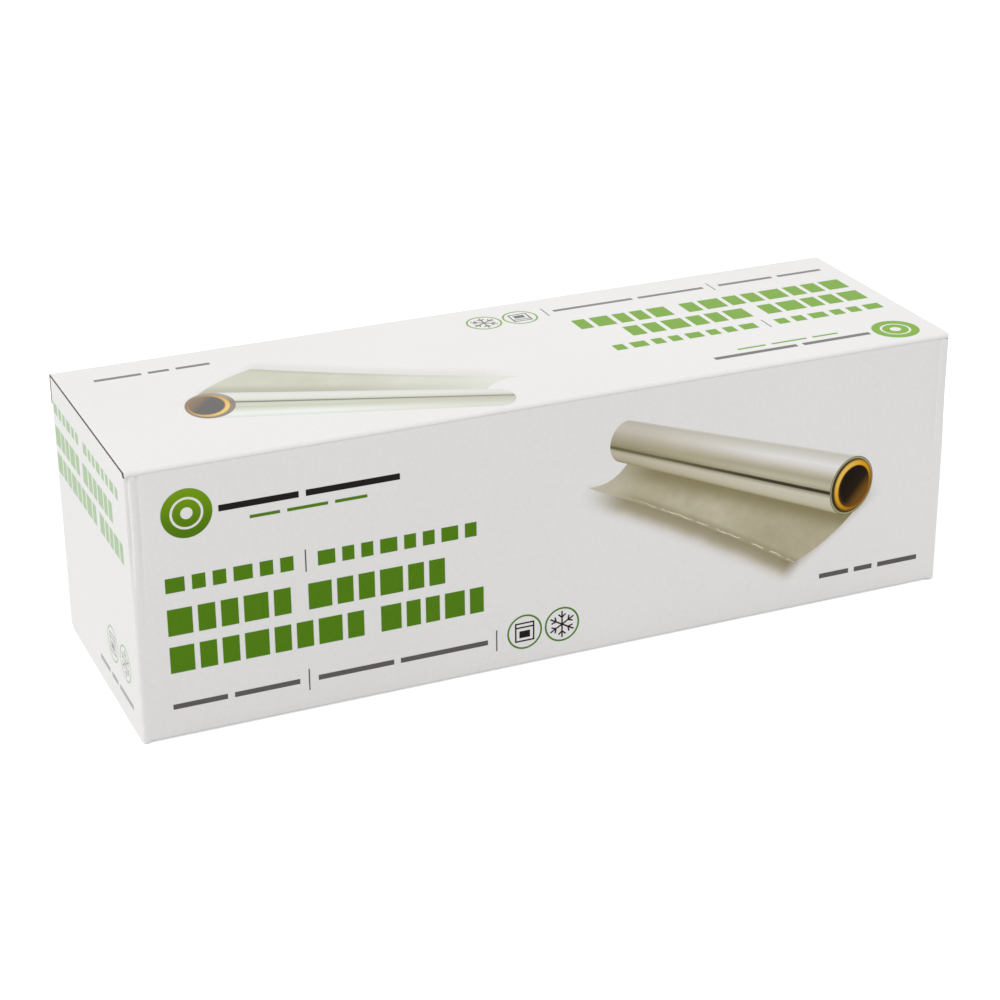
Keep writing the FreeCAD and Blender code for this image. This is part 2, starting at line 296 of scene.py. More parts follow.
board = {
    "white": tint(239, 238, 237),
    "whiteShade": tint(234, 233, 232),
    "kraft": (0.45, 0.31, 0.19),
    "kraftDark": (0.30, 0.19, 0.11),
    "fleck": (0.16, 0.1, 0.06),
    "hollow": (0.07, 0.05, 0.035),  # on cut edges: painted shade in the hollows, the brown wave and the pale liners
    "wave": (0.22, 0.165, 0.12),
    "liner": (0.36, 0.29, 0.22),
    "ribPitch": 2.5 * mm,
    "ribDepth": 0.010 * mm,
    "grainDepth": 0.010 * mm,
    "roughness": 0.48,
    "kraftRoughness": 0.85,
    "edgeRoughness": 0.9,
    "edgeDepth": 0.1 * mm,
}


def ribbing(coords, axis):
    # faint washboard of the flutes under the liner, with the paper's own grain
    place = axes(coords)["XYZ".index(axis)]
    turn = place * (2 * math.pi / board["ribPitch"]) + noise(coords, 30.0, 1.0) * 2.0
    grain = noise(coords, 1400.0, 3.0)
    return turn.maths("SINE", turn) * board["ribDepth"] + grain * board["grainDepth"]


def makeWhiteBoard(name, axis, panel=None):
    material, coords = startMaterial(name)
    cloudy = noise(coords, 9.0, 3.0)
    fibres = noise(coords, 700.0, 3.0)
    shade = cloudy * 0.5 + fibres * 0.5
    colour = ramp(shade, [(0.3, board["whiteShade"]), (0.62, board["white"])])
    if panel:
        colour = printedShade(coords, colour, panel)
    roughness = fibres * 0.14 + (board["roughness"] - 0.07)
    bump = bumpFrom(ribbing(coords, axis), 1.0)
    return endMaterial(material, colour, roughness, bump)


def makeKraft():
    material, coords = startMaterial("kraftInside")
    fibres = noise(coords, 500.0, 4.0, (0.25, 1.0, 1.0))
    flecks = noise(coords, 1500.0, 2.0)
    colour = mixColour(fibres, board["kraftDark"], board["kraft"])
    colour = mixColour((flecks > 0.66) * 0.35, colour, board["fleck"])
    bump = bumpFrom(ribbing(coords, "X"), 1.0)
    return endMaterial(material, colour, board["kraftRoughness"], bump)


def makeRawEdge(name, shade):
    # cut edge of the board: two pale liners with the brown wave and painted shade in the hollows between
    material, coords = startMaterial(name)
    x, y, z = axes(coords)
    turn = (x + y) * (2 * math.pi / board["ribPitch"])
    fibres = noise(coords, 900.0, 3.0)
    hollow = turn.maths("SINE", turn) * 0.5 + fibres
    colour = ramp(hollow, [(0.1, board["hollow"]), (0.55, board["wave"]), (0.9, board["liner"])])
    bump = bumpFrom(fibres, board["edgeDepth"])
    # a shade under 1 darkens the whole edge: painted shade
    return endMaterial(material, shaded(1.0, colour, (shade, shade, shade)), board["edgeRoughness"], bump)


whiteX = makeWhiteBoard("whiteBoard", "X", "front")
whiteLid = makeWhiteBoard("whiteBoardLid", "X", "lid")
whiteY = makeWhiteBoard("whiteBoardEnd", "Y")
kraft = makeKraft()
rawEdge = makeRawEdge("rawEdge", 1.0)
# the lid's cut edges are darkened to 0.42: painted shade of the gap under the lid's edge, over the cut's
# real brown
crushedEdgePaintedShade = makeRawEdge("crushedEdgePaintedShade", 0.42)
print("board finishes ready")


# bending a sheet of board: a row of edges is pushed along runs and turned about fold lines

def spaced(start, end, cuts):
    return [Vector(start).lerp(Vector(end), cut / cuts) for cut in range(cuts + 1)]


def startRow(bm, points):
    last = bmesh.ops.create_vert(bm, co=points[0])["vert"][0]
    edges = []
    for point in points[1:]:
        made = bmesh.ops.extrude_vert_indiv(bm, verts=[last])
        bmesh.ops.translate(bm, verts=made["verts"], vec=point - last.co)
        last = made["verts"][0]
        edges += made["edges"]
    return edges


def runSheet(bm, edges, step, cuts=1):
    for cut in range(cuts):
        made = bmesh.ops.extrude_edge_only(bm, edges=edges)["geom"]
        fresh = [item for item in made if isinstance(item, bmesh.types.BMVert)]
        sides = [item for item in made if isinstance(item, bmesh.types.BMEdge)]
        edges = [edge for edge in sides if all(vert in fresh for vert in edge.verts)]
        bmesh.ops.translate(bm, verts=fresh, vec=Vector(step) / cuts)
    return edges


def turnSheet(bm, edges, centre, axis, degrees, steps):
    made = bmesh.ops.spin(bm, geom=vertsOf(edges) + edges, cent=centre, axis=axis,
                          angle=math.radians(degrees), steps=steps, use_merge=False)
    return [item for item in made["geom_last"] if isinstance(item, bmesh.types.BMEdge)]


def vertsOf(edges):
    return list(dict.fromkeys(vert for edge in edges for vert in edge.verts))


def openEdges(bm, keep):
    # edges with one face whose middle passes the test
    found = []
    for edge in bm.edges:
        if len(edge.link_faces) == 1 and keep((edge.verts[0].co + edge.verts[1].co) / 2):
            found.append(edge)
    return found


def placeMesh(name, bm, materials, body, sharp=30.0):
    mesh = bpy.data.meshes.new(name)
    bm.to_mesh(mesh)
    bm.free()
    for material in materials:
        mesh.materials.append(material)
    mesh.shade_smooth()
    mesh.set_sharp_from_angle(angle=math.radians(sharp))
    piece = bpy.data.objects.new(name, mesh)
    bpy.context.scene.collection.objects.link(piece)
    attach(piece, body)
    return piece


def thicken(bm, name, thickness, share):
    # gives a sheet its thickness inwards, with the inside one slot on and the cut edges two slots on
    layer = bm.verts.layers.deform.verify()
    for vert in bm.verts:
        vert[layer][0] = share(vert.co)
    mesh = bpy.data.meshes.new(name)
    bm.to_mesh(mesh)
    bm.free()
    for slot in range(6):
        mesh.materials.append(None)
    sheet = bpy.data.objects.new(name, mesh)
    bpy.context.scene.collection.objects.link(sheet)
    group = sheet.vertex_groups.new(name="share")
    solidify = sheet.modifiers.new("wall", "SOLIDIFY")
    solidify.thickness = thickness
    solidify.offset = -1.0
    solidify.vertex_group = group.name
    solidify.material_offset = 1
    solidify.material_offset_rim = 2
    evaluated = sheet.evaluated_get(bpy.context.evaluated_depsgraph_get())
    solid = bmesh.new()
    solid.from_mesh(evaluated.to_mesh())
    bpy.data.objects.remove(sheet)
    bpy.data.meshes.remove(mesh)
    return solid


def between(value, low, high):
    # 0 at low, 1 at high, smooth on the way
    share = min(1.0, max(0.0, (value - low) / (high - low)))
    return share * share * (3 - 2 * share)


# the carton's body

carton = {
    "thickness": 1.17 * mm,
    "inkProud": 0.03 * mm,  # the faces stand this far inside the print
    "uprightRadius": 2.6 * mm,
    "floorRadius": 1.6 * mm,
    "flapFoot": 0.33 * mm,
    "flapTop": 0.38 * mm,  # how far the end flaps rise beside the lid's crushed edge
    "floorInset": 1.25 * mm,
    "hingeClear": 1.23 * mm,
    "floorFlap": 38.0 * mm,
    "backFlap": 46.0 * mm,
    "relief": 26.0 * mm,
    "reliefHeight": 0.9 * mm,
    "crushed": 0.6,
    "crushWidth": 0.8 * mm,
}

# score lines beside the upright folds: place round the fold from the front wall, depth and width
scores = {
    "span": 2.8 * mm,
    "grooves": [(1.6 * mm, 0.60 * mm, 0.6 * mm), (-1.8 * mm, 0.62 * mm, 0.5 * mm)],
    "bulge": (-3.1 * mm, 0.45 * mm, 0.8 * mm),
    "rightGrooves": [(1.6 * mm, 0.28 * mm, 0.7 * mm)],
    "rightBulge": (-2.04 * mm, 0.60 * mm, 1.4 * mm),
    "fadeFrom": 0.48,
    "fadeTo": 0.80,
    "least": 0.06,
    "lowRadius": 1.2 * mm,  # the fold is squarer below the pressed part
}


def hingeTop(y, top):
    # the top of a wall that the lid's round fold turns in
    clear = carton["hingeClear"]
    reach = abs(y - hingeAt.y)
    if reach >= clear:
        return top
    return min(top, hingeAt.z - math.sqrt(clear ** 2 - reach ** 2))


def makeCartonBody():
    proud = carton["inkProud"]
    fold = carton["floorRadius"]
    span = scores["span"]
    inset = carton["floorInset"]
    crush = carton["crushWidth"]
    top = bodyHigh.z
    endX = bodyHigh.x - proud
    frontY = bodyLow.y + proud
    backY = bodyHigh.y
    seatX = bodyHigh.x - carton["uprightRadius"]
    seatY = bodyLow.y + carton["uprightRadius"]
    up = Vector((0, 0, 1))

    # outer flaps and front wall, walked round in plan
    bm = bmesh.new()
    heights = spaced((-endX, backY, fold), (-endX, backY, top - crush), 30)
    edges = startRow(bm, heights + [Vector((-endX, backY, top))])
    edges = runSheet(bm, edges, (0, -crush, 0))
    edges = runSheet(bm, edges, (0, seatY + span + crush - backY, 0), 14)
    edges = runSheet(bm, edges, (0, -span, 0), 8)
    edges = turnSheet(bm, edges, (-seatX, seatY, 0), up, 90, 18)
    edges = runSheet(bm, edges, (span, 0, 0), 12)
    edges = runSheet(bm, edges, (2 * seatX - 2 * span, 0, 0), 48)
    edges = runSheet(bm, edges, (span, 0, 0), 12)
    edges = turnSheet(bm, edges, (seatX, seatY, 0), up, 90, 18)
    edges = runSheet(bm, edges, (0, span, 0), 8)
    edges = runSheet(bm, edges, (0, backY - seatY - span - crush, 0), 14)
    runSheet(bm, edges, (0, crush, 0))

    # front fold, floor and back wall
    low = openEdges(bm, lambda p: p.z < fold + touch and p.y < frontY + touch and abs(p.x) < seatX)
    edges = turnSheet(bm, low, (0, bodyLow.y + fold, fold), (1, 0, 0), 90, 6)
    edges = runSheet(bm, edges, (0, 1.5 * mm, 0))
    for vert in vertsOf(edges):
        past = abs(vert.co.x) - (seatX - span)
        if past > -touch:
            vert.co.x = math.copysign(seatX - inset - span / 2 + past / 2, vert.co.x)
    edges = runSheet(bm, edges, (0, backY - bodyLow.y - 2 * fold - 3 * mm, 0), 10)
    edges = runSheet(bm, edges, (0, 1.5 * mm, 0))
    for vert in vertsOf(edges):
        past = abs(vert.co.x) - (seatX - inset - span / 2)
        if past > -touch:
            vert.co.x = math.copysign(seatX - span + past * 2, vert.co.x)
    edges = turnSheet(bm, edges, (0, backY - fold, fold), (1, 0, 0), 90, 6)
    runSheet(bm, edges, (0, 0, top - fold), 20)

    # inner flaps, glued behind the outer ones
    for side in (-1, 1):
        sides = openEdges(bm, lambda p: p.z < skin and abs(p.x - side * (seatX - inset)) < touch
                          and bodyLow.y + 4 * mm < p.y < backY - 4 * mm)
        edges = turnSheet(bm, sides, (side * (seatX - inset), 0, 1.4 * mm), (0, 1, 0), -90 * side, 5)
        runSheet(bm, edges, (0, 0, carton["floorFlap"]), 4)
        sides = openEdges(bm, lambda p: abs(p.x - side * seatX) < touch
                          and abs(p.y - backY + proud) < 0.5 * skin and p.z > fold)
        edges = turnSheet(bm, sides, (side * seatX, backY - proud - 1.35 * mm, 0), up, -90 * side, 5)
        runSheet(bm, edges, (0, -carton["backFlap"], 0), 6)

    # feet of the outer flaps
    feet = openEdges(bm, lambda p: abs(p.z - fold) < touch and (abs(p.x) > endX - touch or
                     (p.y < seatY and abs(p.x) > seatX)))
    return bm, runSheet(bm, feet, (0, 0, carton["flapFoot"] - fold))


def squareReach(across, ahead):
    # how far a ray from the fold's middle runs to the squarer corner
    wide = carton["uprightRadius"]
    seat = wide - scores["lowRadius"]
    if across * wide <= seat * ahead:
        return wide / ahead
    if ahead * wide <= seat * across:
        return wide / across
    both = seat * (across + ahead)
    return both + math.sqrt(both ** 2 - 2 * seat ** 2 + scores["lowRadius"] ** 2)


def scoreUpright(co):
    # presses the score lines in, and squares the fold up towards the end face
    seatX = bodyHigh.x - carton["uprightRadius"]
    seatY = bodyLow.y + carton["uprightRadius"]
    side = math.copysign(1, co.x)
    height = co.z / bodyHigh.z
    pressed = between(height, scores["fadeFrom"], scores["fadeTo"])
    away = Vector((co.x - side * seatX, co.y - seatY, 0))
    if away.x * side > 0 and away.y < 0:
        place = -carton["uprightRadius"] * math.atan2(away.x * side, -away.y)
        out = away.normalized()
        co = co + out * (squareReach(abs(out.x), abs(out.y)) - carton["uprightRadius"]) * (1 - pressed)
    elif away.y >= 0:
        place = -carton["uprightRadius"] * math.pi / 2 - away.y
        out = Vector((side, 0, 0))
    else:
        place = -away.x * side
        out = Vector((0, -1, 0))
    fade = scores["least"] + (1 - scores["least"]) * pressed
    wander = 1.0 + 0.2 * math.sin(co.z * 190 + side) + 0.1 * math.sin(co.z * 530 + 2 * side)
    press = 0.0
    for middle, depth, width in scores["grooves"] if side < 0 else scores["rightGrooves"]:
        press += depth * math.exp(-((place - middle) / width) ** 2)
    middle, rise, width = scores["bulge"] if side < 0 else scores["rightBulge"]
    push = rise * math.exp(-((place - middle) / width) ** 2)
    moved = co + out * (push - press * fade * wander)
    moved.x = side * min(abs(moved.x), bodyHigh.x - carton["inkProud"])
    moved.y = max(moved.y, bodyLow.y + carton["inkProud"])
    return moved


def shapeCartonBody(bm, feet):
    top = bodyHigh.z
    seatX = bodyHigh.x - carton["uprightRadius"]
    seatY = bodyLow.y + carton["uprightRadius"]
    for vert in vertsOf(feet):
        # the cut-back corner behind, and the rounded one in front
        behind = max(0.0, (vert.co.y - (bodyHigh.y - carton["relief"])) / carton["relief"])
        ahead = max(0.0, (seatY - vert.co.y) / carton["uprightRadius"])
        vert.co.z += behind * carton["reliefHeight"] + ahead ** 2 * 0.3 * mm
    for vert in bm.verts:
        onFlap = abs(vert.co.x) > bodyHigh.x - skin and vert.co.y > seatY + 2 * skin
        if vert.co.z > top - touch:
            vert.co.z = hingeTop(vert.co.y, top + carton["flapTop"] if onFlap else top)
        elif vert.co.z > top - 2 * mm:
            vert.co.z = min(vert.co.z, hingeTop(vert.co.y, top) - 0.4 * mm)
    for vert in bm.verts:
        atCorner = vert.co.y < seatY + scores["span"] and abs(vert.co.x) > seatX - scores["span"]
        if atCorner and vert.co.z > 2 * skin:
            vert.co = scoreUpright(vert.co)


def bodyShare(co):
    # how thick the board is: crushed along the cut edges of the end flaps
    if abs(co.x) < bodyHigh.x - skin:
        return 1.0
    cut = co.z > bodyHigh.z - skin or co.z < carton["flapFoot"] + 1.2 * mm or co.y > bodyHigh.y - skin
    return carton["crushed"] if cut else 1.0


def hollowTopRim(bm):
    # the front wall's cut top is scooped to the round of the lid's fold
    seatY = bodyLow.y + carton["uprightRadius"]
    rim = []
    for face in bm.faces:
        middle = face.calc_center_median()
        if face.material_index in (2, 5) and middle.y < seatY and middle.z > hingeAt.z - 2 * mm:
            rim.append(face)
    across = {edge for face in rim for edge in face.edges if edge.calc_length() > 0.75 * carton["thickness"]
              and abs(edge.verts[0].co.x - edge.verts[1].co.x) < 1.3 * mm}
    bmesh.ops.subdivide_edges(bm, edges=list(across), cuts=5, use_grid_fill=True)
    for vert in bm.verts:
        if vert.co.y < seatY and vert.co.z > hingeAt.z - 1.4 * mm:
            vert.co.z = hingeTop(vert.co.y, vert.co.z)


bm, feet = makeCartonBody()
shapeCartonBody(bm, feet)
for face in bm.faces:
    middle = face.calc_center_median()
    face.material_index = 3 if abs(middle.x) > bodyHigh.x - carton["uprightRadius"] * 0.3 else 0
bmesh.ops.recalc_face_normals(bm, faces=bm.faces)
frontFace = min(bm.faces, key=lambda face: face.calc_center_median().y)
if frontFace.normal.y > 0:
    bmesh.ops.reverse_faces(bm, faces=bm.faces)
bm = thicken(bm, "cartonSheet", carton["thickness"], bodyShare)
hollowTopRim(bm)
cartonSlots = [whiteX, kraft, rawEdge, whiteY, kraft, rawEdge]
cartonShell = placeMesh("cartonShell", bm, cartonSlots, "carton", sharp=48.0)
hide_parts("carton_body")
print("carton body folded")


# the lid: its round front fold, the top panel and the lip behind

lid = {
    "thickness": 1.15 * mm,
    "foldRadius": 1.17 * mm,
    "backRadius": 1.6 * mm,
    "rodRadius": 1.05 * mm,
    "fillRadius": 0.66 * mm,
    "fillInset": 0.42 * mm,
    "cornerRadius": 1.1 * mm,
    "sideShare": 0.85,  # the board's thickness at its crushed side edges
    "beadShare": 0.42,
    "lipShare": 0.6,
    "lipSide": 0.5,
    "sideDrop": 0.04 * mm,
    "beadKraft": 58.0,  # how far round the fold its brown inside shows, in degrees
}


def makeLidSheet():
    upright = carton["uprightRadius"]
    backSeat = lidHigh.y - lid["backRadius"]
    endX = lidHigh.x - carton["inkProud"]
    seatX = lidHigh.x - upright
    y = hingeAt.y
    z = hingeAt.z - lid["foldRadius"]
    bm = bmesh.new()
    row = spaced((-endX, y, z), (-seatX, y, z), 9)[:-1] + spaced((-seatX, y, z), (seatX, y, z), 56)
    edges = startRow(bm, row + spaced((seatX, y, z), (endX, y, z), 9)[1:])
    edges = turnSheet(bm, edges, hingeAt, (1, 0, 0), -180, 18)
    edges = runSheet(bm, edges, (0, 2 * mm, 0), 6)
    edges = runSheet(bm, edges, (0, backSeat - hingeAt.y - 2 * mm, 0), 26)
    edges = turnSheet(bm, edges, (0, backSeat, lidHigh.z - lid["backRadius"]), (1, 0, 0), -90, 7)
    edges = runSheet(bm, edges, (0, 0, lidLow.z - lidHigh.z + lid["backRadius"] + carton["crushWidth"]), 6)
    runSheet(bm, edges, (0, 0, -carton["crushWidth"]))
    # front corners rounded in plan, like the upright folds under them
    cornerX = endX - lid["cornerRadius"]
    cornerY = bodyLow.y + carton["inkProud"] + lid["cornerRadius"]
    for vert in bm.verts:
        side = math.copysign(1, vert.co.x)
        away = Vector((vert.co.x - side * cornerX, vert.co.y - cornerY, 0))
        if away.x * side > 0 and away.y < 0 and away.length > lid["cornerRadius"]:
            short = away.normalized() * lid["cornerRadius"]
            vert.co.x = side * cornerX + short.x
            vert.co.y = cornerY + short.y
        if abs(vert.co.x) > endX - 0.5 * skin and vert.co.z > lidHigh.z - skin:
            vert.co.z -= lid["sideDrop"]
    bmesh.ops.recalc_face_normals(bm, faces=bm.faces)
    highest = max(bm.faces, key=lambda face: face.calc_center_median().z)
    if highest.normal.z < 0:
        bmesh.ops.reverse_faces(bm, faces=bm.faces)
    return bm


def lidShare(co):
    edge = lidHigh.x - abs(co.x)
    side = lid["sideShare"] + (1 - lid["sideShare"]) * between(edge, 1.35 * mm, 1.9 * mm)
    bead = lid["beadShare"] + (1 - lid["beadShare"]) * between(co.y, hingeAt.y, hingeAt.y + 1.4 * mm)
    lip = lid["lipShare"] if co.z < lidLow.z + skin else 1.0
    if co.z < lidHigh.z - 2 * mm and co.y > 0:
        side = 1.0 if edge > 0.4 * mm else lid["lipSide"]
    return min(side, bead, lip)


def turnInsideBrown(bm):
    # the first part of the fold faces the carton's inside once the lid is up
    for face in bm.faces:
        away = face.calc_center_median() - hingeAt
        if away.y < 0.5 * skin and away.z < 0 and math.hypot(away.y, away.z) > 0.8 * lid["foldRadius"]:
            brown = lid["beadKraft"] if abs(away.x) < bodyHigh.x - 6 * mm else 0.3 * lid["beadKraft"]
            if math.degrees(math.atan2(-away.y, -away.z)) < brown and face.material_index == 0:
                face.material_index = 1


def addRod(bm):
    # the crushed board inside the crease
    place = Matrix.Translation(hingeAt) @ Matrix.Rotation(math.pi / 2, 4, "Y")
    long = 2 * (bodyHigh.x - lid["fillInset"])
    short = 2 * (bodyHigh.x - carton["uprightRadius"])
    for radius, length, slot in ((lid["rodRadius"], short, 1), (lid["fillRadius"], long, 0)):
        made = bmesh.ops.create_cone(bm, cap_ends=True, segments=32, radius1=radius, radius2=radius,
                                     depth=length, matrix=place)
        for face in {f for v in made["verts"] for f in v.link_faces}:
            face.material_index = slot


bm = thicken(makeLidSheet(), "lidSheet", lid["thickness"], lidShare)
turnInsideBrown(bm)
for face in bm.faces:
    middle = face.calc_center_median()
    if face.material_index == 2 and middle.y > 0 and middle.z < lidHigh.z - 1.5 * mm:
        face.material_index = 3
addRod(bm)
lidPanel = placeMesh("lidPanel", bm, [whiteLid, kraft, crushedEdgePaintedShade, rawEdge], "lid", sharp=48.0)
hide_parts("carton_lid")
print("lid folded")


# the wound foil and its core

foil = {
    "radius": 42.0 * mm,
    "coreGap": 0.1 * mm,
    "turnRings": 22,
    "lengthCuts": 23,
    "ringDepth": 0.10 * mm,
    "tailStep": 0.25 * mm,  # the free end stands this far over the turn under it
    "tailAngle": 200.0,
    "turn": 359.5,  # the spin stops short, and the last strip is bridged
    "steps": 128,
    "colour": (0.91, 0.91, 0.90),
    "dullColour": (0.86, 0.86, 0.85),
    "turnColours": ((0.42, 0.42, 0.42), (0.82, 0.82, 0.81)),
}
rollCentre = Vector((0, (coreLow.y + coreHigh.y) / 2, (coreLow.z + coreHigh.z) / 2))


def makeFoilFinish():
    material, coords = startMaterial("rolledFoil")
    streaks = noise(coords, 60.0, 3.0, (0.02, 12.0, 12.0))
    dull = noise(coords, 22.0, 3.0)
    roughness = streaks * 0.12 + dull * 0.10 + 0.16
    colour = ramp(dull, [(0.3, foil["dullColour"]), (0.7, foil["colour"])])
    height = streaks * 0.6 + noise(coords, 160.0, 2.0) * 0.4
    return endMaterial(material, colour, roughness, bumpFrom(height, 0.05 * mm), metallic=1.0)


def makeFoilEndFinish():
    # edges of the turns: fine rings about the roll's axis
    material, coords = startMaterial("foilTurns")
    x, y, z = axes(coords)
    dy = y - rollCentre.y
    dz = z - rollCentre.z
    square = dy * dy + dz * dz
    radius = square.maths("SQRT", square)
    rings = noise(radius.node("ShaderNodeCombineXYZ", {}, {0: radius, 1: x * 0.2}), 3000.0, 3.0)
    inner, outer = foil["turnColours"]
    colour = ramp(rings, [(0.25, inner), (0.6, outer)])
    return endMaterial(material, colour, rings * 0.2 + 0.28, bumpFrom(rings, 0.15 * mm), metallic=1.0)


def makeWoundFoil():
    inner = (coreHigh.z - coreLow.z) / 2 + foil["coreGap"]
    outer = foil["radius"]
    half = rollHigh.x
    low = rollCentre.z + inner
    high = rollCentre.z + outer
    bm = bmesh.new()
    # the section: up one end in small steps, along the outside, down the other end and back
    edges = startRow(bm, spaced((-half, rollCentre.y, low), (-half, rollCentre.y, high), foil["turnRings"]))
    last = max(vertsOf(edges), key=lambda v: v.co.z)
    made = bmesh.ops.extrude_vert_indiv(bm, verts=[last])
    bmesh.ops.translate(bm, verts=made["verts"], vec=(2 * half, 0, 0))
    edges = startRow(bm, spaced((half, rollCentre.y, high), (half, rollCentre.y, low), foil["turnRings"]))
    last = min(vertsOf(edges), key=lambda v: v.co.z)
    made = bmesh.ops.extrude_vert_indiv(bm, verts=[last])
    bmesh.ops.translate(bm, verts=made["verts"], vec=(-2 * half, 0, 0))
    bmesh.ops.remove_doubles(bm, verts=bm.verts, dist=0.1 * touch)
    long = [edge for edge in bm.edges if edge.calc_length() > half]
    bmesh.ops.subdivide_edges(bm, edges=long, cuts=foil["lengthCuts"])
    for vert in bm.verts:
        # the turns' edges stand a little in and out
        if abs(abs(vert.co.x) - half) < touch:
            level = (vert.co.z - rollCentre.z) * 1e5
            wobble = 0.5 + 0.5 * math.sin(level * 0.37) * math.cos(level * 0.11)
            vert.co.x -= math.copysign(foil["ringDepth"] * wobble, vert.co.x)
    bmesh.ops.spin(bm, geom=list(bm.verts) + list(bm.edges), cent=rollCentre, axis=(1, 0, 0),
                   angle=math.radians(foil["turn"]), steps=foil["steps"], use_merge=False)
    rim = [edge for edge in bm.edges if len(edge.link_faces) == 1]
    bmesh.ops.bridge_loops(bm, edges=rim)
    tailTurn = Matrix.Rotation(math.radians(foil["tailAngle"]), 3, "X")
    bmesh.ops.rotate(bm, verts=bm.verts, cent=rollCentre, matrix=tailTurn)
    tail = math.radians(foil["tailAngle"] + 90)
    for vert in bm.verts:
        away = Vector((0, vert.co.y - rollCentre.y, vert.co.z - rollCentre.z))
        if away.length > outer - skin / 10:
            angle = (math.atan2(away.z, away.y) - tail) % (2 * math.pi)
            step = foil["tailStep"] * (1 - angle / (2 * math.pi))
            vert.co += away.normalized() * (step - foil["tailStep"] * 0.2)
    for face in bm.faces:
        face.material_index = 1 if abs(face.normal.x) > 0.5 else 0
    bmesh.ops.recalc_face_normals(bm, faces=bm.faces)
    return bm


foilSlots = [makeFoilFinish(), makeFoilEndFinish()]
woundFoil = placeMesh("woundFoil", makeWoundFoil(), foilSlots, "carton", sharp=35.0)
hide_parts("foil_roll")

core = {
    "wall": 3.0 * mm,
    "bevel": 0.35 * mm,
    "segments": 96,
    "seamPitch": 96.0 * mm,
    "seamWidth": 0.018,
    "colours": ((0.30, 0.19, 0.10), (0.50, 0.34, 0.20)),
    "seamColour": (0.17, 0.10, 0.05),
}


def makeCoreFinish():
    # spiral-wound kraft: a helical seam, soft bands and fibres
    material, coords = startMaterial("woundKraft")
    x, y, z = axes(coords)
    angle = y.maths("ARCTAN2", z - rollCentre.z, y - rollCentre.y) / (2 * math.pi)
    turns = x / core["seamPitch"] + angle
    seam = abs(turns.maths("FRACT", turns) - 0.5) < core["seamWidth"]
    fibres = noise(coords, 420.0, 4.0, (0.3, 1.0, 1.0))
    colour = mixColour(fibres, *core["colours"])
    colour = mixColour(seam * 0.6, colour, core["seamColour"])
    return endMaterial(material, colour, 0.8, bumpFrom(fibres * 0.5 - seam, 0.08 * mm))


def makeCoreTube():
    outer = (coreHigh.z - coreLow.z) / 2
    high = rollCentre.z + outer
    half = coreHigh.x
    bm = bmesh.new()
    edges = startRow(bm, spaced((-half, rollCentre.y, high - core["wall"]), (-half, rollCentre.y, high), 1))
    runSheet(bm, edges, (2 * half, 0, 0))
    bmesh.ops.bevel(bm, geom=list(bm.verts), offset=core["bevel"], offset_type="OFFSET", segments=3,
                    profile=0.5, affect="VERTICES", material=-1)
    bmesh.ops.delete(bm, geom=list(bm.faces), context="FACES_ONLY")
    bmesh.ops.spin(bm, geom=list(bm.verts) + list(bm.edges), cent=rollCentre, axis=(1, 0, 0),
                   angle=2 * math.pi, steps=core["segments"], use_merge=True)
    bmesh.ops.remove_doubles(bm, verts=bm.verts, dist=0.1 * touch)
    bmesh.ops.recalc_face_normals(bm, faces=bm.faces)
    return bm


coreTube = placeMesh("coreTube", makeCoreTube(), [makeCoreFinish()], "carton")
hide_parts("core_tube")
print("foil wound on its core")


# print

ink = {
    "green": (0.082, 0.208, 0.003),
    # the Lid inks are the front's inks given paler: painted sheen of the lid's top
    "greenLid": (0.165, 0.36, 0.008),
    "greenEnd": (0.39, 0.55, 0.32),
    "badgeTop": (0.19, 0.36, 0.004),
    "badgeFoot": (0.085, 0.20, 0.002),
    "badgeLid": (0.19, 0.41, 0.004),
    "dark": (0.012, 0.009, 0.008),
    "darkLid": (0.15, 0.145, 0.14),
    "grey": (0.115, 0.105, 0.10),
    "greyLid": (0.19, 0.185, 0.18),
    "greyEnd": (0.38, 0.38, 0.36),
    "roughness": 0.42,
    "gloss": 0.08,
    "glossLid": 0.36,
}


def makeInk(name, colour, axis, gloss, panel=None):
    material, coords = startMaterial(name)
    fibres = noise(coords, 900.0, 3.0)
    pale = tuple(c * 1.12 + 0.003 for c in colour)
    shade = mixColour(fibres, colour, pale)
    if panel:
        # the badge is brighter than the rows, and fades downwards on the front
        u, v = panelPlace(coords, panel)
        badge = mixColour(fade(v, 76.0, 97.0), ink["badgeFoot"], ink["badgeTop"])
        badge = badge if panel == "front" else ink["badgeLid"]
        shade = mixColour((u < -129.0) * (v > 72.0), shade, badge)
    bump = bumpFrom(ribbing(coords, axis), 1.0)
    return endMaterial(material, shade, fibres * 0.12 + ink["roughness"] - 0.06, bump,
                       **{"Specular IOR Level": gloss})


def picked(red, green, blue):
    return tint(red, green, blue, 1.26)


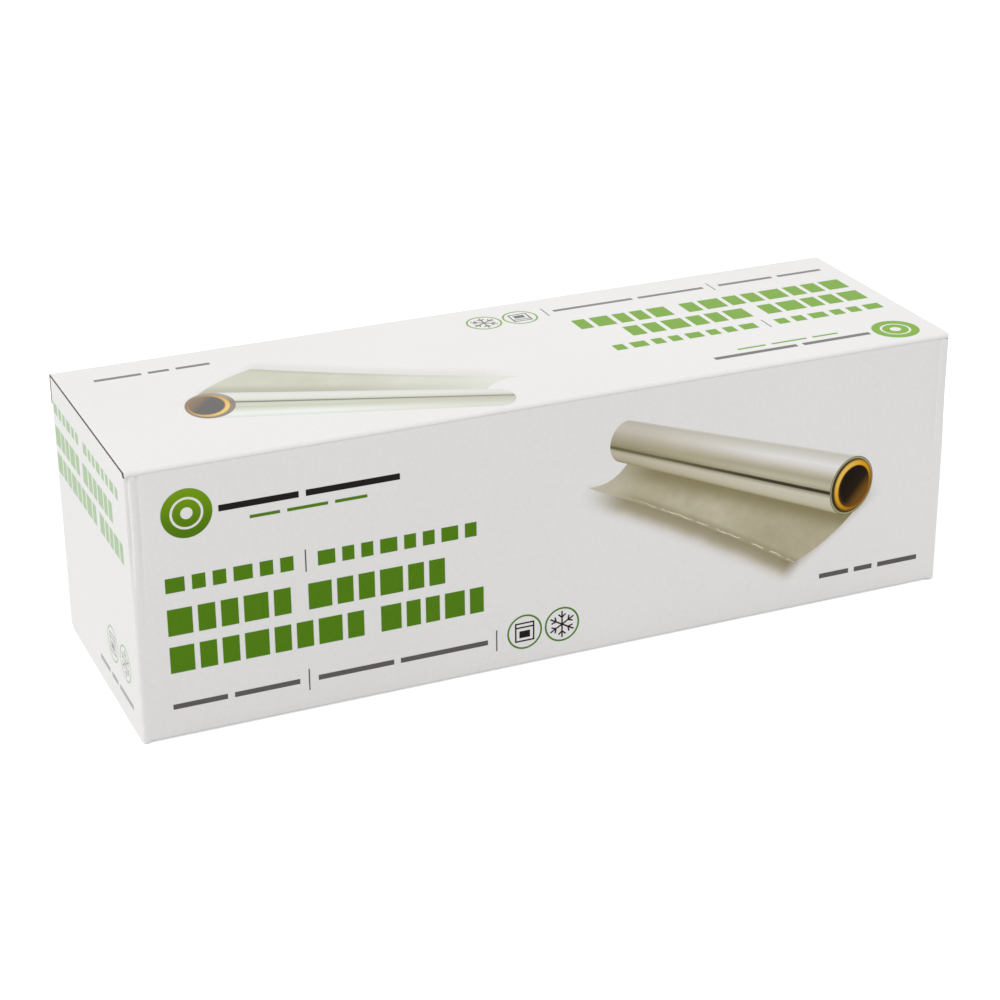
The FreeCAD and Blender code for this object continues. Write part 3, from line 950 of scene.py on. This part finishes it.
# across the roll from its top silhouette to the lower one
rollFar = [
    (0.0, picked(206, 201, 193)), (0.04, picked(187, 181, 169)), (0.15, picked(197, 191, 178)),
    (0.275, picked(194, 188, 175)), (0.375, picked(182, 174, 157)), (0.5, picked(167, 160, 135)),
    (0.6, picked(157, 148, 121)), (0.66, picked(141, 133, 103)), (0.695, picked(92, 86, 55)),
    (0.725, picked(103, 97, 70)), (0.765, picked(170, 164, 140)), (0.81, picked(186, 180, 160)),
    (0.9, picked(180, 171, 150)), (0.96, picked(168, 158, 130)), (1.0, picked(140, 131, 98)),
]
rollNear = [
    (0.0, picked(205, 203, 197)), (0.04, picked(191, 188, 176)), (0.125, picked(203, 200, 195)),
    (0.24, picked(219, 218, 217)), (0.34, picked(206, 201, 193)), (0.425, picked(182, 177, 160)),
    (0.5, picked(163, 158, 134)), (0.6, picked(180, 175, 153)), (0.666, picked(158, 154, 128)),
    (0.684, picked(40, 35, 13)), (0.724, picked(40, 35, 13)), (0.742, picked(148, 143, 123)),
    (0.8, picked(194, 188, 172)), (0.9, picked(189, 184, 165)), (0.96, picked(180, 173, 150)),
    (1.0, picked(150, 143, 115)),
]
sheetStops = [(0.25, picked(160, 152, 125)), (0.5, picked(170, 163, 138)), (0.75, picked(183, 175, 153))]
# from the outer turn inwards, on the roll's near end
turnStops = [
    (0.86, picked(52, 48, 22)), (0.92, picked(70, 66, 36)), (0.945, picked(170, 166, 138)),
    (0.965, picked(150, 146, 114)), (0.985, picked(96, 92, 60)),
]
coreStops = [
    (0.05, picked(226, 186, 92)), (0.3, picked(214, 158, 40)), (0.6, picked(190, 132, 18)),
    (0.95, picked(140, 92, 12)),
]
boreStops = [(0.3, picked(20, 12, 3)), (0.68, picked(32, 21, 6)), (0.98, picked(104, 70, 22))]

tones = {
    "farShade": (0.92, 0.92, 0.92),
    "grain": picked(200, 195, 180),
    # lidTurns: the near end's turns on the lid, given paler than on the front as painted sheen
    "lidTurns": picked(116, 92, 62),
    "underRoll": picked(127, 118, 84),
    "nearEdge": picked(138, 130, 100),
    "crease": picked(222, 216, 196),
    "creaseLid": picked(124, 112, 66),
    "leftEnd": picked(192, 185, 171),
    "coreEdge": picked(92, 62, 12),
    "innerEdge": picked(110, 72, 18),
}

# the lid's print is paler: painted sheen laid over the picture there
lidSheenTones = {
    "tint": (0.93, 1.0, 0.98),
    "sheenWhite": (0.90, 0.93, 0.88),
    "ringShare": 0.3,
    "sheetFar": (0.84, 0.86, 0.80),
    "rollFoot": (0.86, 0.87, 0.85),
    "line": picked(92, 92, 76),
    "linePlace": (0.614, 0.021),
    "turns": picked(100, 84, 68),
}


def endPlace(u, v):
    # 1 on the outline of the roll's near end
    lean = math.radians(picture["endLean"])
    du, dv = u - picture["near"][0], v - picture["near"][1]
    tall = (du * math.sin(lean) + dv * math.cos(lean)) / picture["endTall"]
    wide = (du * math.cos(lean) - dv * math.sin(lean)) / picture["endWide"]
    square = tall * tall + wide * wide
    return square.maths("SQRT", square)


def rollPlace(u, v):
    # share of the way to the near end, and across from 0 at the top to 1 at the foot
    share, rise = alongLine(u, v, picture["far"], picture["near"])
    half = share * (picture["nearHalf"] - picture["farHalf"]) + picture["farHalf"]
    return share, rise / half * -0.5 + 0.5, half


def paintSheenOnLid(name, colour, u, v):
    # painted sheen of the lid's top: the picture's colours are mixed towards pale ones
    share = picture["lidPale"] * (1.0 if name in ("Roll", "Sheet") else lidSheenTones["ringShare"])
    colour = mixColour(share, shaded(1.0, colour, lidSheenTones["tint"]), lidSheenTones["sheenWhite"])
    if name == "Sheet":
        along, rise = sheetPlace(u, v)
        colour = mixColour(fade(along, 0.85, 0.1) * 0.5, colour, lidSheenTones["sheetFar"])
    if name == "Roll":
        along, across, half = rollPlace(u, v)
        middle, reach = lidSheenTones["linePlace"]
        colour = mixColour(fade(across, 0.66, 0.9) * 0.7, colour, lidSheenTones["rollFoot"])
        colour = mixColour((abs(across - middle) < reach) * 0.7, colour, lidSheenTones["line"])
        colour = mixColour((endPlace(u, v) < 1.0) * 0.6, colour, lidSheenTones["turns"])
    return colour


def makePictureFinish(name, panel, colourOf):
    material, coords = startMaterial(panel + "Picture" + name)
    u, v = panelPlace(coords, panel)
    colour = colourOf(coords, u, v, panel)
    gloss = ink["gloss"]
    # the lid's picture gets painted sheen
    if panel == "lid":
        colour = paintSheenOnLid(name, colour, u, v)
        gloss = ink["glossLid"]
    return endMaterial(material, colour, ink["roughness"], bumpFrom(ribbing(coords, "X"), 1.0),
                       **{"Specular IOR Level": gloss})


def rollColour(coords, u, v, panel):
    share, across, half = rollPlace(u, v)
    if panel == "lid":
        across = across + picture["lidTurn"]
    across = across + (noise(coords, 70.0, 2.0) * 0.016 - 0.008)
    colour = mixColour(fade(share, 0.05, 0.7), ramp(across, rollFar), ramp(across, rollNear))
    colour = mixColour(noise(coords, 260.0, 2.0) * 0.06, colour, tones["grain"])
    colour = shaded(fade(share, 0.24, 0.0), colour, tones["farShade"])
    # fine turns of the near end
    edge = endPlace(u, v)
    turns = ramp(edge, turnStops) if panel == "front" else tones["lidTurns"]
    return mixColour(edge < 1.0, colour, turns)


def sheetColour(coords, u, v, panel):
    share, across, half = rollPlace(u, v)
    below = (across - 1.0) * half * 2.0
    clouds = noise(coords, 48.0, 3.0) + noise(coords, 260.0, 2.0) * 0.3 - 0.15
    colour = ramp(clouds, sheetStops)
    colour = mixColour(fade(below, 9.0, 0.5) * 0.92, colour, tones["underRoll"])
    # darker near the torn edge, with a broken bright crease along it
    share, rise = sheetPlace(u, v)
    nearEdge = fade(rise, 3.6, 1.2) * fade(share, 0.04, 0.24)
    colour = mixColour(nearEdge * 0.55, colour, tones["nearEdge"])
    crease = rise - noise(coords, 240.0, 2.0) * 1.3
    broken = fade(noise(coords, 170.0, 2.0), 0.44, 0.56)
    bright = (abs(crease - 0.1) < 0.17) * broken * fade(share, 0.12, 0.4)
    colour = mixColour(bright * 0.75, colour, tones["crease" if panel == "front" else "creaseLid"])
    return mixColour(fade(share, 0.26, 0.04) * 0.6, colour, tones["leftEnd"])


def boreColour(coords, u, v, panel):
    du, dv = u - picture["near"][0], v - picture["near"][1]
    return ramp(du * 0.06 - dv * 0.05 + 0.5, boreStops)


def coreColour(coords, u, v, panel):
    du, dv = u - picture["near"][0], v - picture["near"][1]
    colour = ramp(du * 0.045 - dv * 0.036 + 0.5, coreStops)
    colour = mixColour(fade(endPlace(u - 0.7, v), 0.80, 0.875) * 0.75, colour, tones["coreEdge"])
    # the bore's dark runs on to the tube's inner edge, most at the foot
    inside = endPlace(u - picture["innerEdge"][0], v - picture["innerEdge"][1])
    dark = mixColour(0.2, boreColour(coords, u, v, panel), tones["innerEdge"])
    limit = picture["innerShare"]
    return mixColour(fade(inside, limit + 0.03, limit - 0.03), colour, dark)


def dress(node, material):
    thing = frame["nodes"][node]
    thing.data.materials.clear()
    thing.data.materials.append(material)


pictureFinishes = {"Roll": rollColour, "Sheet": sheetColour, "Core": coreColour, "Bore": boreColour}
for panel, kind in (("front", ""), ("lid", "Lid")):
    gloss = ink["gloss" + kind]
    dress(panel + "_print_green", makeInk(panel + "GreenInk", ink["green" + kind], "X", gloss, panel))
    dress(panel + "_print_dark", makeInk(panel + "DarkInk", ink["dark" + kind], "X", gloss))
    dress(panel + "_print_grey", makeInk(panel + "GreyInk", ink["grey" + kind], "X", gloss))
    for name, colourOf in pictureFinishes.items():
        dress(panel + "_picture_" + name.lower(), makePictureFinish(name, panel, colourOf))
dress("end_print_green", makeInk("endGreenInk", ink["greenEnd"], "Y", ink["glossLid"]))
dress("end_print_grey", makeInk("endGreyInk", ink["greyEnd"], "Y", ink["glossLid"]))
print("print coloured")


# floor, light and camera

stage = {
    "size": 12.0,
    "floor": (0.82, 0.82, 0.82),
    "white": (1.0, 1.0, 1.0),
    "lift": 0.42,  # brings the floor up to white where the camera sees it
    "world": 0.78,
    "sun": 0.95,
    "sunSoft": 25.0,
    "sunTurn": -85.0,
    "sunRise": 48.0,
}


def awayFrom(turn, rise):
    # a direction back from the object, turned from the front wall and raised from the floor
    return Vector((math.sin(turn) * math.cos(rise), -math.cos(turn) * math.cos(rise), math.sin(rise)))


def makeFloor():
    bm = bmesh.new()
    bmesh.ops.create_grid(bm, x_segments=2, y_segments=2, size=stage["size"] / 2)
    mesh = bpy.data.meshes.new("floor")
    bm.to_mesh(mesh)
    bm.free()
    floor = bpy.data.objects.new("floor", mesh)
    bpy.context.scene.collection.objects.link(floor)
    material = bpy.data.materials.new("paleFloor")
    material.use_nodes = True
    tree = material.node_tree
    tree.nodes.clear()
    camera = Wire(tree.nodes.new("ShaderNodeLightPath").outputs["Is Camera Ray"])
    diffuse = camera.node("ShaderNodeBsdfDiffuse", {}, {"Color": colour4(stage["floor"])})
    white = colour4(stage["white"])
    glow = camera.node("ShaderNodeEmission", {}, {"Color": white, "Strength": camera * stage["lift"]})
    both = camera.node("ShaderNodeAddShader", {}, {0: diffuse, 1: glow})
    output = tree.nodes.new("ShaderNodeOutputMaterial")
    tree.links.new(both.socket, output.inputs["Surface"])
    mesh.materials.append(material)
    return floor


def makeWorld():
    world = bpy.data.worlds.new("studio")
    bpy.context.scene.world = world
    world.use_nodes = True
    tree = world.node_tree
    tree.nodes.clear()
    path = tree.nodes.new("ShaderNodeLightPath")
    camera = Wire(path.outputs["Is Camera Ray"])
    glossy = Wire(path.outputs["Is Glossy Ray"])
    seen = camera.maths("MAXIMUM", camera, glossy)
    strength = seen * (1.0 - stage["world"]) + stage["world"]
    white = colour4(stage["white"])
    light = camera.node("ShaderNodeBackground", {}, {"Color": white, "Strength": strength})
    output = tree.nodes.new("ShaderNodeOutputWorld")
    tree.links.new(light.socket, output.inputs["Surface"])


def makeSun():
    data = bpy.data.lights.new("softKey", "SUN")
    data.energy = stage["sun"]
    data.angle = math.radians(stage["sunSoft"])
    sun = bpy.data.objects.new("softKey", data)
    bpy.context.scene.collection.objects.link(sun)
    back = awayFrom(math.radians(stage["sunTurn"]), math.radians(stage["sunRise"]))
    sun.rotation_mode = "QUATERNION"
    sun.rotation_quaternion = (-back).to_track_quat("-Z", "Y")


# the camera's place, measured from the middle of the solids' box
view = {
    "turn": -23.23,
    "rise": 24.132,
    "roll": -0.454,
    "distance": 946.05 * mm,
    "slideRight": -3.079 * mm,
    "slideUp": -7.714 * mm,
    "lens": 88.81,
    "sensor": 36.0,
}


def makeCamera():
    turn = math.radians(view["turn"])
    roll = math.radians(view["roll"])
    back = awayFrom(turn, math.radians(view["rise"]))
    right = Vector((math.cos(turn), math.sin(turn), 0))
    up = back.cross(right)
    middle = (cadBox[0] + cadBox[1]) / 2
    eye = middle + back * view["distance"] + right * view["slideRight"] + up * view["slideUp"]
    right, up = right * math.cos(roll) + up * math.sin(roll), up * math.cos(roll) - right * math.sin(roll)
    data = bpy.data.cameras.new("studioCamera")
    data.lens = view["lens"]
    data.sensor_width = view["sensor"]
    camera = bpy.data.objects.new("studioCamera", data)
    bpy.context.scene.collection.objects.link(camera)
    camera.matrix_world = Matrix((
        (right.x, up.x, back.x, eye.x),
        (right.y, up.y, back.y, eye.y),
        (right.z, up.z, back.z, eye.z),
        (0, 0, 0, 1),
    ))
    bpy.context.scene.camera = camera


makeFloor()
makeWorld()
makeSun()
makeCamera()
bpy.context.scene.view_settings.view_transform = "Standard"
print("stage lit")
